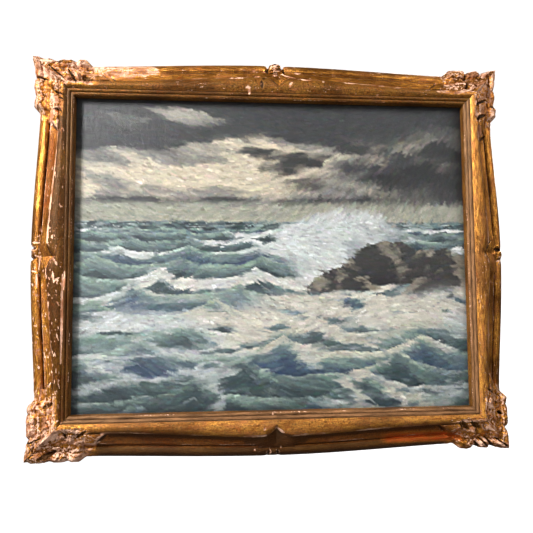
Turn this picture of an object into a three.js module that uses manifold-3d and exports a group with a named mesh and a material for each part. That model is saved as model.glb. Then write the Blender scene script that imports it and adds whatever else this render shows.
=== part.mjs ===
// An oil painting on a stretched canvas, in a carved and gilded wooden frame whose sides sweep
// outwards. Four mitred rails make the frame. Millimetres, +Z up. The picture faces -Y, and the
// wall is the plane Y = 0. The origin is in the middle of the hanger's back, on the wall plane.
import * as THREE from 'three';
import { mergeVertices } from 'three/addons/utils/BufferGeometryUtils.js';
import Module from 'manifold-3d';

const wasm = await Module();
wasm.setup();

// Picture opening and rebate
const SIGHT_WIDTH = 494;
const SIGHT_HEIGHT = 388;
const LIP_COVER = 7; // how far the lip covers the canvas on each side
const CANVAS_PLAY = 1; // room round the canvas in the rebate
const FIT_GAP = 0.3; // clearance between pieces that touch
const MITRE_GAP = 0.4; // glue line between two rails

// Moulding, measured outwards from the sight edge and forwards from the wall
const LIP_HEIGHT = 40;
const LIP_THICKNESS = 9.5;
const REED_WIDTH = 4.4;
const REED_RISE = 1.7;
const REED_COUNT = 2;
const CREST_HEIGHT = 37.5;
const BAND_CROWN = 4;
const STEP_RUN = 1.6;
const STEP_DROP = 6;
const HOLLOW = 2.2; // how far the cove sags under its chord
const SWELL = 3; // how far the uncut wood stands over that chord
const RIM_WIDTH = 13;
const RIM_HEIGHT = 19;
const RIM_CROWN = 4;
const RIM_GROOVE = 1;
const RIM_DROP = 2.2;
const EDGE_HEIGHT = 9;
const UNDERCUT = 2;

// Sweep of each side
const NARROW_WIDTH = 51.5; // moulding width beside a corner
const MIDDLE_WIDTH = 61.5;
const CREST_AT_CORNER = 20.5;
const CREST_AT_MIDDLE = 31;
const CREST_RUN = 0.95; // share of a straight half over which the crest swings out

// Carved corners
const CORNER_REACH = 60;
const CORNER_LENGTH = 75; // from the tip, back along the outer edge
const CHANNEL_END = 87; // where the cove stops, from the tip
const CHANNEL_ROUND = 13;
const CUT_RUN = 4;
const LEAF_SHOULDER = 0.14; // share of the corner in which the outline swells
const LEAF_VALLEYS = [0.42, 0.71]; // shares of the corner where lobes meet
const VALLEY_REACH = 0.145; // share of the corner over which a lobe rolls down into a valley
const VALLEY_STEEP = 0.06; // share beside a valley that is steepest
const SCALLOP = 2.6;
const LOBE_RISE = 5; // of the rolled outer ends of the lobes
const RIB_RISE = 2.4; // of the ribs that run in from the valleys
const GOUGE_DEPTH = 4.2; // of the hollow inside each lobe
const RIB_SPREAD = 0.12; // share of the corner in which the middle rib rises to the mitre

// Cartouche in the middle of each side
const CUSP_DEPTH = 9;
const CUSP_HALF = 19;
const KNOB_HALF = 5;
const NOTCH_WIDTH = 4;
const NOTCH_DEPTH = 3.2;
const BRIDGE_HALF = 18; // where the surface is still one with the rim
const BRIDGE_RUN = 10; // over which the cove sinks to its full depth

// Canvas and stretcher
const CANVAS_THICKNESS = 1;
const STRETCHER_WIDTH = 42;
const STRETCHER_DEPTH = 18;
const STRETCHER_FLAT = 6;
const STRETCHER_BEVEL = 3;

// Brads that hold the stretcher in the rebate
const BRAD_RADIUS = 0.9;
const BRAD_LENGTH = 14;
const BRAD_SPREAD = 0.5; // share of a side's half length
const BRAD_SIDES = 8;

// Hanger, flush in a pocket in the top rail
const HANGER_OFFSET = 30; // from the sight edge
const HANGER_WIDTH = 60;
const HANGER_HEIGHT = 13;
const HANGER_THICKNESS = 1.2;
const HANGER_PLAY = 0.6;
const TOOTH_COUNT = 9;
const TOOTH_WIDTH = 4;
const TOOTH_HEIGHT = 2.2;
const NAIL_POCKET_HEIGHT = 20;
const NAIL_POCKET_DEPTH = 6;
const SCREW_SPACING = 50;
const SCREW_HEAD_RADIUS = 2.4;
const SCREW_SHANK_RADIUS = 1.2;
const SCREW_LENGTH = 14;
const ROUND_SIDES = 16;

// Heights and places that follow from the sizes above
const rebate = LIP_COVER + CANVAS_PLAY;
const canvasFront = LIP_HEIGHT - LIP_THICKNESS - FIT_GAP;
const stretcherFront = canvasFront - CANVAS_THICKNESS - FIT_GAP;
const stretcherBack = stretcherFront - STRETCHER_DEPTH;
const bandStart = REED_COUNT * REED_WIDTH;
const hangerAbove = SIGHT_HEIGHT / 2 + HANGER_OFFSET;

const gilding = new THREE.MeshStandardMaterial({ color: 0x9a6427, roughness: 0.45, metalness: 0.6 });
const paint = new THREE.MeshStandardMaterial({ color: 0x6f7f80, roughness: 0.5, metalness: 0 });
const bareWood = new THREE.MeshStandardMaterial({ color: 0xb58a5a, roughness: 0.8, metalness: 0 });
const steel = new THREE.MeshStandardMaterial({ color: 0x8c8a86, roughness: 0.4, metalness: 0.9 });

const lerp = THREE.MathUtils.lerp;
const smooth = (value, low, high) => THREE.MathUtils.smoothstep(value, low, high);

// Solid from a ring of points at each station: rings[station][column] is a Vector3, and all of
// them run round the bar the same way. The two end rings are flat, so they are closed as shapes.
function loft(rings, endContour) {
  const columns = rings[0].length;
  const positions = rings.flat().flatMap((point) => [point.x, point.y, point.z]);
  const index = [];
  for (let i = 0; i + 1 < rings.length; i++) {
    for (let j = 0; j < columns; j++) {
      const a = i * columns + j;
      const b = i * columns + ((j + 1) % columns);
      index.push(a, b, a + columns, b, b + columns, a + columns);
    }
  }
  const last = (rings.length - 1) * columns;
  const clockwise = THREE.ShapeUtils.isClockWise(endContour);
  for (const [a, second, third] of THREE.ShapeUtils.triangulateShape(endContour, [])) {
    const [b, c] = clockwise ? [third, second] : [second, third];
    index.push(a, c, b, last + a, last + b, last + c);
  }
  return facingOut(positions, index);
}

function facingOut(positions, index) {
  const corner = (n) => new THREE.Vector3().fromArray(positions, index[n] * 3);
  let volume = 0;
  for (let n = 0; n < index.length; n += 3) {
    volume += corner(n).dot(corner(n + 1).cross(corner(n + 2)));
  }
  if (volume < 0) {
    for (let n = 0; n < index.length; n += 3) {
      [index[n + 1], index[n + 2]] = [index[n + 2], index[n + 1]];
    }
  }
  const geometry = new THREE.BufferGeometry();
  geometry.setAttribute('position', new THREE.Float32BufferAttribute(positions, 3));
  geometry.setIndex(index);
  geometry.computeVertexNormals();
  return geometry;
}

function toSolid(geometry) {
  const bare = geometry.clone();
  bare.deleteAttribute('normal');
  bare.deleteAttribute('uv');
  const merged = mergeVertices(bare, 1e-4);
  return new wasm.Manifold(new wasm.Mesh({
    numProp: 3,
    vertProperties: new Float32Array(merged.attributes.position.array),
    triVerts: new Uint32Array(merged.index.array),
  }));
}

function toGeometry(solid) {
  const mesh = solid.getMesh();
  const geometry = new THREE.BufferGeometry();
  geometry.setAttribute('position', new THREE.BufferAttribute(new Float32Array(mesh.vertProperties), 3));
  geometry.setIndex(new THREE.BufferAttribute(new Uint32Array(mesh.triVerts), 1));
  geometry.computeVertexNormals();
  return geometry;
}

function box(width, depth, height, x, y, z) {
  return new THREE.BoxGeometry(width, depth, height).translate(x, y, z);
}

// Moulding of one rail. A station is a line across the rail, from inner at the sight edge to
// outer at the corner's reach. In the corners the lines fan out, and fan runs from 0 to 1.
function stationsOf(half) {
  const cornerStart = narrowPlace(half);
  const channelEnd = half + CORNER_REACH - CHANNEL_END;
  const notchEnd = KNOB_HALF + NOTCH_WIDTH;
  const plainStart = BRIDGE_HALF + BRIDGE_RUN;
  const straight = [0, KNOB_HALF, KNOB_HALF + NOTCH_WIDTH / 2, notchEnd, BRIDGE_HALF, plainStart];
  const plainEnd = channelEnd - CHANNEL_ROUND - CUT_RUN;
  const plainCount = Math.max(2, Math.round((plainEnd - plainStart) / 60));
  for (let k = 1; k <= plainCount; k++) {
    straight.push(lerp(plainStart, plainEnd, k / plainCount));
  }
  straight.push(channelEnd - CHANNEL_ROUND, channelEnd - CUT_RUN, channelEnd);
  const shares = [0, LEAF_SHOULDER / 2, LEAF_SHOULDER];
  let from = LEAF_SHOULDER;
  for (const valley of LEAF_VALLEYS) {
    shares.push((from + valley - VALLEY_STEEP) / 2, valley - VALLEY_STEEP, valley, valley + VALLEY_STEEP);
    from = valley + VALLEY_STEEP;
  }
  shares.push((from + 1) / 2, 1);
  const side = straight.map((x) => ({ inner: x, outer: x, fan: 0 }));
  const corner = shares.map((fan) => ({
    inner: lerp(cornerStart, half, fan),
    outer: lerp(cornerStart, half + CORNER_REACH, fan),
    fan,
  }));
  const oneWay = [...side, ...corner];
  const otherWay = oneWay.slice(1).reverse();
  return [...otherWay.map((place) => ({ ...place, sign: -1 })), ...oneWay.map((place) => ({ ...place, sign: 1 }))];
}

const notchAt = (x) => Math.max(0, 1 - Math.abs(x - KNOB_HALF - NOTCH_WIDTH / 2) / (NOTCH_WIDTH / 2));

function valleyAt(fan) {
  const nearness = LEAF_VALLEYS.map((valley) => Math.max(0, 1 - Math.abs(fan - valley) / VALLEY_REACH));
  return Math.max(...nearness) ** 2;
}

const narrowPlace = (half) => half + CORNER_REACH - CORNER_LENGTH;

// Swing of the outer edge, from 1 in the middle of a side to 0 beside its corner
function sweepAt(x, half) {
  const share = Math.min(1, x / narrowPlace(half));
  const arc = 1 - share ** 2;
  const wave = 0.5 + 0.5 * Math.cos(Math.PI * share);
  return (arc + wave) / 2;
}

function widthAt(place, half) {
  if (place.fan > 0) {
    const swelling = smooth(place.fan, 0, LEAF_SHOULDER);
    return lerp(NARROW_WIDTH, CORNER_REACH, swelling) - SCALLOP * valleyAt(place.fan);
  }
  return lerp(NARROW_WIDTH, MIDDLE_WIDTH, sweepAt(place.inner, half));
}

function crestAt(place, half) {
  const away = place.fan > 0 ? 1 : smooth(place.inner, 0, CREST_RUN * narrowPlace(half));
  const swept = lerp(CREST_AT_MIDDLE, CREST_AT_CORNER, away);
  return swept - CUSP_DEPTH * Math.max(0, 1 - place.inner / CUSP_HALF) ** 2;
}

// Height of the surface between the crest's step and the rim, at a share of the way. It is a
// shallow hollow that sinks to a groove at the rim, fills up towards the middle of a side, and
// ends in uncut wood beside the corner.
function coveAt(place, half, share) {
  const chord = lerp(CREST_HEIGHT, RIM_HEIGHT, share);
  const bow = 4 * share * (1 - share);
  const uncut = chord + SWELL * bow;
  if (place.fan > 0) return uncut;
  const open = smooth(place.inner, BRIDGE_HALF, BRIDGE_HALF + BRIDGE_RUN);
  const hollow = chord - STEP_DROP * (1 - share) - open * (HOLLOW * bow + RIM_DROP * share);
  const end = half + CORNER_REACH - CHANNEL_END - CHANNEL_ROUND * (1 - share) ** 2;
  return lerp(hollow, uncut, smooth(place.inner, end - CUT_RUN, end));
}

// How high the corner's leaf stands over the plain moulding at an offset from the sight edge.
// Each lobe is hollow inside and rolls up at its outer end, and ribs part the lobes.
function leafAt(place, offset, width) {
  if (place.fan === 0) return 0;
  const share = (offset - bandStart) / (width - bandStart);
  const middle = smooth(share, 0.12, 0.38) * (1 - smooth(share, 0.52, 0.74));
  const edge = smooth(share, 0.55, 0.85);
  const valley = valleyAt(place.fan);
  const rib = Math.max(valley, smooth(place.fan, 1 - RIB_SPREAD, 1));
  const lobe = smooth(place.fan, 0, LEAF_SHOULDER);
  return lobe * (middle * lerp(-GOUGE_DEPTH, RIB_RISE, rib) + edge * LOBE_RISE * (1 - valley));
}

// Front of the moulding at one station, as [offset, height] pairs from the sight edge outwards
function frontAt(place, half) {
  const width = widthAt(place, half);
  const crest = crestAt(place, half);
  const rim = width - RIM_WIDTH;
  const points = [];
  for (let reed = 0; reed < REED_COUNT; reed++) {
    const start = reed * REED_WIDTH;
    points.push([start, LIP_HEIGHT]);
    points.push([start + REED_WIDTH / 4, LIP_HEIGHT + REED_RISE]);
    points.push([start + REED_WIDTH * 3 / 4, LIP_HEIGHT + REED_RISE]);
  }
  points.push([bandStart, LIP_HEIGHT]);
  for (const share of [0.2, 0.45, 0.7, 1]) {
    const height = lerp(LIP_HEIGHT, CREST_HEIGHT, share) + BAND_CROWN * Math.sin(Math.PI * share);
    points.push([lerp(bandStart, crest, share), height]);
  }
  for (const share of [0, 1 / 3, 2 / 3, 1]) {
    points.push([lerp(crest + STEP_RUN, rim - RIM_GROOVE, share), coveAt(place, half, share)]);
  }
  const notch = place.fan > 0 ? 0 : NOTCH_DEPTH * notchAt(place.inner);
  for (const share of [0, 1 / 3, 2 / 3, 1]) {
    const height = lerp(RIM_HEIGHT, EDGE_HEIGHT, share) + RIM_CROWN * Math.sin(Math.PI * share);
    points.push([lerp(rim, width - notch, share), height - notch]);
  }
  return points.map(([offset, height]) => [offset, height + leafAt(place, offset, width)]);
}

function railSolid(half, across) {
  const rings = [];
  let contour = null;
  for (const place of stationsOf(half)) {
    const front = frontAt(place, half);
    const width = front.at(-1)[0];
    const lipBack = LIP_HEIGHT - LIP_THICKNESS;
    const back = [[width - UNDERCUT, 0], [rebate, 0], [rebate, lipBack], [0, lipBack]];
    const ring = [...front, ...back];
    const gap = place.fan === 1 ? MITRE_GAP / Math.SQRT2 : 0;
    rings.push(ring.map(([offset, height]) => {
      const along = lerp(place.inner, place.outer, offset / CORNER_REACH) - gap;
      return new THREE.Vector3(place.sign * along, -height, across + offset);
    }));
    contour = ring.map(([offset, height]) => new THREE.Vector2(offset, height));
  }
  return loft(rings, contour);
}

// Straight bar with mitred ends, from an outline of [offset, height] pairs
function mitredBar(half, across, outline) {
  const gap = MITRE_GAP / Math.SQRT2;
  const rings = [-1, 1].map((sign) => outline.map(([offset, height]) => (
    new THREE.Vector3(sign * (half + offset - gap), -height, across + offset)
  )));
  return loft(rings, outline.map(([offset, height]) => new THREE.Vector2(offset, height)));
}

function stretcherBar(half, across) {
  const outside = LIP_COVER - CANVAS_THICKNESS - FIT_GAP;
  const inside = outside - STRETCHER_WIDTH;
  return mitredBar(half, across, [
    [outside, stretcherFront],
    [outside - STRETCHER_FLAT, stretcherFront],
    [inside, stretcherFront - STRETCHER_BEVEL],
    [inside, stretcherBack],
    [outside, stretcherBack],
  ]);
}

// Canvas stretched over the front of the bars and turned over their sides
function canvasSheet() {
  const width = SIGHT_WIDTH + 2 * LIP_COVER;
  const height = SIGHT_HEIGHT + 2 * LIP_COVER;
  const depth = canvasFront - stretcherBack;
  const outside = box(width, depth, height, 0, -(stretcherBack + depth / 2), 0);
  const inner = 2 * CANVAS_THICKNESS;
  const room = box(width - inner, depth, height - inner, 0, -(stretcherBack + depth / 2 - CANVAS_THICKNESS), 0);
  return toGeometry(toSolid(outside).subtract(toSolid(room)));
}

function bradPin(across) {
  const start = across + rebate - FIT_GAP - BRAD_LENGTH;
  return new THREE.CylinderGeometry(BRAD_RADIUS, BRAD_RADIUS, BRAD_LENGTH, BRAD_SIDES)
    .rotateX(Math.PI / 2)
    .translate(0, -(stretcherBack - FIT_GAP - BRAD_RADIUS), start + BRAD_LENGTH / 2);
}

function hangerPlate() {
  const right = HANGER_WIDTH / 2;
  const top = HANGER_HEIGHT / 2;
  const outline = new THREE.Shape().moveTo(right, -top).lineTo(right, top).lineTo(-right, top).lineTo(-right, -top);
  const teethStart = -TOOTH_COUNT * TOOTH_WIDTH / 2;
  for (let tooth = 0; tooth < TOOTH_COUNT; tooth++) {
    const left = teethStart + tooth * TOOTH_WIDTH;
    outline.lineTo(left, -top);
    outline.lineTo(left + TOOTH_WIDTH / 2, -top + TOOTH_HEIGHT);
  }
  outline.lineTo(-teethStart, -top);
  for (const sign of [-1, 1]) {
    const hole = new THREE.Path();
    hole.absarc(sign * SCREW_SPACING / 2, 0, SCREW_HEAD_RADIUS + FIT_GAP, 0, 2 * Math.PI, true);
    outline.holes.push(hole);
  }
  const settings = { depth: HANGER_THICKNESS, bevelEnabled: false, curveSegments: ROUND_SIDES / 2 };
  return new THREE.ExtrudeGeometry(outline, settings).rotateX(Math.PI / 2);
}

function hangerScrew() {
  const profile = [
    new THREE.Vector2(0, 0),
    new THREE.Vector2(SCREW_HEAD_RADIUS, 0),
    new THREE.Vector2(SCREW_HEAD_RADIUS, HANGER_THICKNESS),
    new THREE.Vector2(SCREW_SHANK_RADIUS, HANGER_THICKNESS),
    new THREE.Vector2(SCREW_SHANK_RADIUS, SCREW_LENGTH - 2 * SCREW_SHANK_RADIUS),
    new THREE.Vector2(0, SCREW_LENGTH),
  ];
  return new THREE.LatheGeometry(profile, ROUND_SIDES).rotateX(Math.PI);
}

// Room in the top rail for the hanger, its screws and the head of the wall's nail
function hangerPocket(across) {
  const z = across + HANGER_OFFSET;
  const seatDepth = HANGER_THICKNESS + FIT_GAP;
  const nailWidth = TOOTH_COUNT * TOOTH_WIDTH;
  const nailMiddle = z + HANGER_HEIGHT / 4 - NAIL_POCKET_HEIGHT / 2;
  const seat = box(HANGER_WIDTH + HANGER_PLAY, 2 * seatDepth, HANGER_HEIGHT + HANGER_PLAY, 0, 0, z);
  let pocket = toSolid(seat).add(toSolid(box(nailWidth, 2 * NAIL_POCKET_DEPTH, NAIL_POCKET_HEIGHT, 0, 0, nailMiddle)));
  for (const sign of [-1, 1]) {
    const radius = SCREW_SHANK_RADIUS + FIT_GAP;
    const reach = SCREW_LENGTH + FIT_GAP;
    const hole = new THREE.CylinderGeometry(radius, radius, reach, ROUND_SIDES)
      .translate(sign * SCREW_SPACING / 2, -reach / 2, z);
    pocket = pocket.add(toSolid(hole));
  }
  return pocket;
}

const picture = new THREE.Group();
picture.position.z = -hangerAbove;

function place(name, geometry, material, turn = 0) {
  const mesh = new THREE.Mesh(geometry, material);
  mesh.name = name;
  mesh.rotation.y = turn;
  picture.add(mesh);
  return mesh;
}

const sides = [
  { name: 'top', half: SIGHT_WIDTH / 2, across: SIGHT_HEIGHT / 2, turn: 0 },
  { name: 'right', half: SIGHT_HEIGHT / 2, across: SIGHT_WIDTH / 2, turn: Math.PI / 2 },
  { name: 'bottom', half: SIGHT_WIDTH / 2, across: SIGHT_HEIGHT / 2, turn: Math.PI },
  { name: 'left', half: SIGHT_HEIGHT / 2, across: SIGHT_WIDTH / 2, turn: -Math.PI / 2 },
];

for (const { name, half, across, turn } of sides) {
  const whole = railSolid(half, across);
  const rail = name === 'top' ? toGeometry(toSolid(whole).subtract(hangerPocket(across))) : whole;
  place(`rail_${name}`, rail, gilding, turn);
  place(`stretcher_${name}`, stretcherBar(half, across), bareWood, turn);
  for (const sign of [-1, 1]) {
    const brad = bradPin(across).translate(sign * half * BRAD_SPREAD, 0, 0);
    place(`brad_${name}_${sign < 0 ? 'a' : 'b'}`, brad, steel, turn);
  }
}

place('canvas', canvasSheet(), paint);
place('hanger', hangerPlate(), steel).position.z = hangerAbove;
for (const sign of [-1, 1]) {
  const screw = place(`hanger_screw_${sign < 0 ? 'left' : 'right'}`, hangerScrew(), steel);
  screw.position.set(sign * SCREW_SPACING / 2, 0, hangerAbove);
}

export default picture;
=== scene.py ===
import math

import bmesh
import bpy
import numpy as np
from mathutils import Matrix, Vector


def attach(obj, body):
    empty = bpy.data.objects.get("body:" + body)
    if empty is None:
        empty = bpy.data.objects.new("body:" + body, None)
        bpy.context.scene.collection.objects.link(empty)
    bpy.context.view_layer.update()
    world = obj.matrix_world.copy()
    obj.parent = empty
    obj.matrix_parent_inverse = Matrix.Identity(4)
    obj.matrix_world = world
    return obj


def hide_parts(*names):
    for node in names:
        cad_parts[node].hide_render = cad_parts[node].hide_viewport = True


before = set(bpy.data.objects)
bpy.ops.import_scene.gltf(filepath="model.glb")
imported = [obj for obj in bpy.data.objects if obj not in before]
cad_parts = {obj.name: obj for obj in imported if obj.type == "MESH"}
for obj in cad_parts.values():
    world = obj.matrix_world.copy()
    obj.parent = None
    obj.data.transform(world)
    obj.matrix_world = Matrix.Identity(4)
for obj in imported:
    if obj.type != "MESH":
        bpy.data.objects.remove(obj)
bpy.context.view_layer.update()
scene = bpy.context.scene

# Looks of a framed seascape in oils: a carved, gilded and worn wooden frame with swept sides, a
# painted canvas on a stretcher, and the hanger at the back. Shapes are worked out in millimetres in
# each rail's own directions: along the rail, outwards from the sight edge, and forwards from the wall.
MM = 0.001

# Sizes of the solids that this dress follows, in millimetres
SIGHT_WIDTH = 494
SIGHT_HEIGHT = 388
LIP_COVER = 7
REBATE = 8
FIT_GAP = 0.3
MITRE_GAP = 0.4
LIP_HEIGHT = 40
TALLEST = 42.8
LIP_THICKNESS = 9.5
REED_WIDTH = 4.4
REED_RISE = 1.7
LIP_HEIGHTS = (33, 36.5)  # of the lines along the lip's inner face
BAND_START = 8.8
CREST_HEIGHT = 37.5
BAND_CROWN = 4
STEP_RUN = 1.6
STEP_DROP = 6
HOLLOW = 2.2
SWELL = 3
RIM_WIDTH = 13
RIM_HEIGHT = 19
RIM_CROWN = 4
RIM_GROOVE = 1
EDGE_HEIGHT = 9
UNDERCUT = 2
CREST_AT_CORNER = 20.5
CREST_AT_MIDDLE = 31
CREST_RUN = 0.95
CORNER_REACH = 60
CORNER_LENGTH = 75
CHANNEL_END = 87
CHANNEL_ROUND = 13
LEAF_SHOULDER = 0.14
VALLEY_REACH = 0.145
SCALLOP = 2.6
LOBE_RISE = 5
RIB_RISE = 2.4
GOUGE_DEPTH = 4.2
CUSP_HALF = 19
NOTCH_WIDTH = 3.4
NOTCH_DEPTH = 3.2
CANVAS_THICKNESS = 1
STRETCHER_WIDTH = 42
STRETCHER_DEPTH = 18
STRETCHER_FLAT = 6
STRETCHER_BEVEL = 3
HANGER_OFFSET = 30
HANGER_SEAT = (60.6, 3.0, 13.6)
NAIL_ROOM = (36, 12, 20)
NAIL_ROOM_BELOW = 6.75
# Box round both rooms, in metres
ROOMS_HALF, ROOMS_LOW, ROOMS_HIGH, ROOMS_DEPTH = 0.0305, -0.0175, 0.0075, 0.0065

# Grid of the fine carving: lines across a rail, closer where it is carved, and points along each
CARVED_STEP = 0.8
PLAIN_STEP = 1.7
MIDDLE_SPAN = 32
FAN_LINES = 156
REED_POINTS, BAND_POINTS, COVE_POINTS, RIM_POINTS = 17, 20, 23, 18
PICTURE_ROWS, PICTURE_COLUMNS = 270, 340

canvas_front = LIP_HEIGHT - LIP_THICKNESS - FIT_GAP
stretcher_front = canvas_front - CANVAS_THICKNESS - FIT_GAP
stretcher_back = stretcher_front - STRETCHER_DEPTH
hanger_above = SIGHT_HEIGHT / 2 + HANGER_OFFSET
mitre_gap = MITRE_GAP / math.sqrt(2)

# Finishes of the gilding, the bare wood and the steel, in linear light
BRIGHT_GOLD = (0.78, 0.345, 0.055)
COPPER_BROWN = (0.27, 0.092, 0.016)
WARM_COPPER = (0.42, 0.150, 0.045)
TONED_BROWN = (0.095, 0.027, 0.003)
RED_BOLE = (0.40, 0.055, 0.008)
DIRT = (0.028, 0.008, 0.0015)
CREVICE = (0.013, 0.0035, 0.0008)
PALE_GESSO = (0.60, 0.365, 0.255)
OLD_WOOD = (0.26, 0.108, 0.055)
DUST = (0.19, 0.092, 0.040)
PALE_PINE = (0.50, 0.34, 0.19)
DARK_PINE = (0.34, 0.20, 0.10)
ZINC = (0.36, 0.355, 0.34)
RUST = (0.20, 0.16, 0.13)


# Smooth noise and ramps
def ramp(value, low, high):
    share = np.clip((value - low) / (high - low), 0, 1)
    return share * share * (3 - 2 * share)


def lattice_noise(x, y, seed):
    table = np.random.default_rng(seed).random((128, 128))
    left, under = np.floor(x).astype(int), np.floor(y).astype(int)
    right_share, over_share = x - left, y - under
    right_share = right_share * right_share * (3 - 2 * right_share)
    over_share = over_share * over_share * (3 - 2 * over_share)

    def at(i, j):
        return table[i % 128, j % 128]

    low = at(left, under) * (1 - right_share) + at(left + 1, under) * right_share
    high = at(left, under + 1) * (1 - right_share) + at(left + 1, under + 1) * right_share
    return low * (1 - over_share) + high * over_share


def cloudy(x, y, seed, octaves=4):
    total, weight = 0.0, 0.0
    for octave in range(octaves):
        size = 2**octave
        layer = lattice_noise(x * size + 7.3 * octave, y * size + 3.1 * octave, seed + octave)
        total = total + layer / size
        weight += 1 / size
    return total / weight


# Rails. Carving and wear differ from end to end: places along a rail are counted from its middle,
# negative towards its a end. Values go by side, and a pair is for the a end and the b end.
SIDES = ("top", "right", "bottom", "left")
TRAITS = {
    # Half the sight edge, the opening's edge, and how far it lies from the middle
    "half": (SIGHT_WIDTH / 2, SIGHT_HEIGHT / 2, SIGHT_WIDTH / 2, SIGHT_HEIGHT / 2),
    "across": (SIGHT_HEIGHT / 2, SIGHT_WIDTH / 2, SIGHT_HEIGHT / 2, SIGHT_WIDTH / 2),
    "turn": (0, math.pi / 2, math.pi, -math.pi / 2),
    # Valleys between a corner's lobes: share of the corner, depth
    "valleys": (
        (((0.30, 0.6), (0.62, 0.5)), ((0.47, 0.8), (0.75, 0.8))),
        (((0.36, 0.5), (0.64, 0.4)), ((0.24, 0.4), (0.66, 0.75))),
        (((0.41, 1), (0.70, 1)), ((0.32, 0.35), (0.60, 0.4))),
        (((0.24, 0.4), (0.68, 0.6)), ((0.34, 0.5), (0.66, 0.6))),
    ),
    # How broken each end's carving is
    "decay": ((0.68, 0.36), (0.65, 0.4), (0.5, 0.62), (0.62, 0.5)),
    # Dirt on the reeds, band, cove and rim, with painted shade in the bottom rail's dark cove and rim;
    # bare specks on the reeds; flecks on the rest
    "dirt_and_shade": (
        (0.68, 0.64, 0.1, 0.12),
        (0.95, 0.30, 0.24, 0.20),
        (0.95, 0.50, 0.62, 0.78),
        (0.78, 0.70, 0.05, 0.14),
    ),
    "specks": (0.08, 0.12, 0.12, 0.12),
    "sprinkle": ((0.5, 0.5), (0.2, 0.6), (0.2, 0.2), (1, 0.6)),
    # How much of the groove along the rim is cut
    "groove": (0.4, 0.8, 0.8, 1),
    # The knob's place and half length, and the cusp's place and depth
    "knob": ((3.3, 8), (0.4, 5.4), (3.2, 5.4), (1.5, 5.5)),
    "cusp": ((5.8, 11), (-1.4, 7), (0, 11), (-4, 8.5)),
    # Moulding width at the middle and beside each corner, and each corner's reach
    "width": ((59, 51, 51.3), (61.3, 51.7, 52), (61.4, 53, 55.5), (59, 51, 51)),
    "leaf": ((57.3, 57.6), (57.6, 60), (58.5, 61.2), (58, 57.3)),
    # How far the crest line shifts outwards by each corner
    "crest": ((0, 0), (1, 3), (0.8, 0.8), (-0.5, -1)),
    # How deep the notches reach into the outline, and how far the knob stands out of it
    "nick": (0.8, 0, 0.1, 0.6),
    "stand": (2.2, 0, 0, 0.3),
    # Width of the painted shade at the foot of the crest's step
    "foot": (1, 2.5, 5, 1),
    # Dust on the reeds, band and cove
    "dust": ((0.04, 0, 0.05), (0.8, 0.25, 0.15), (0.7, 0.15, 0.05), (0.04, 0, 0.05)),
    # How rubbed the crest is
    "rub": ((0.25, 0.6), (0.2, 0.7), (0.15, 0.2), (0.35, 1)),
}
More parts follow.
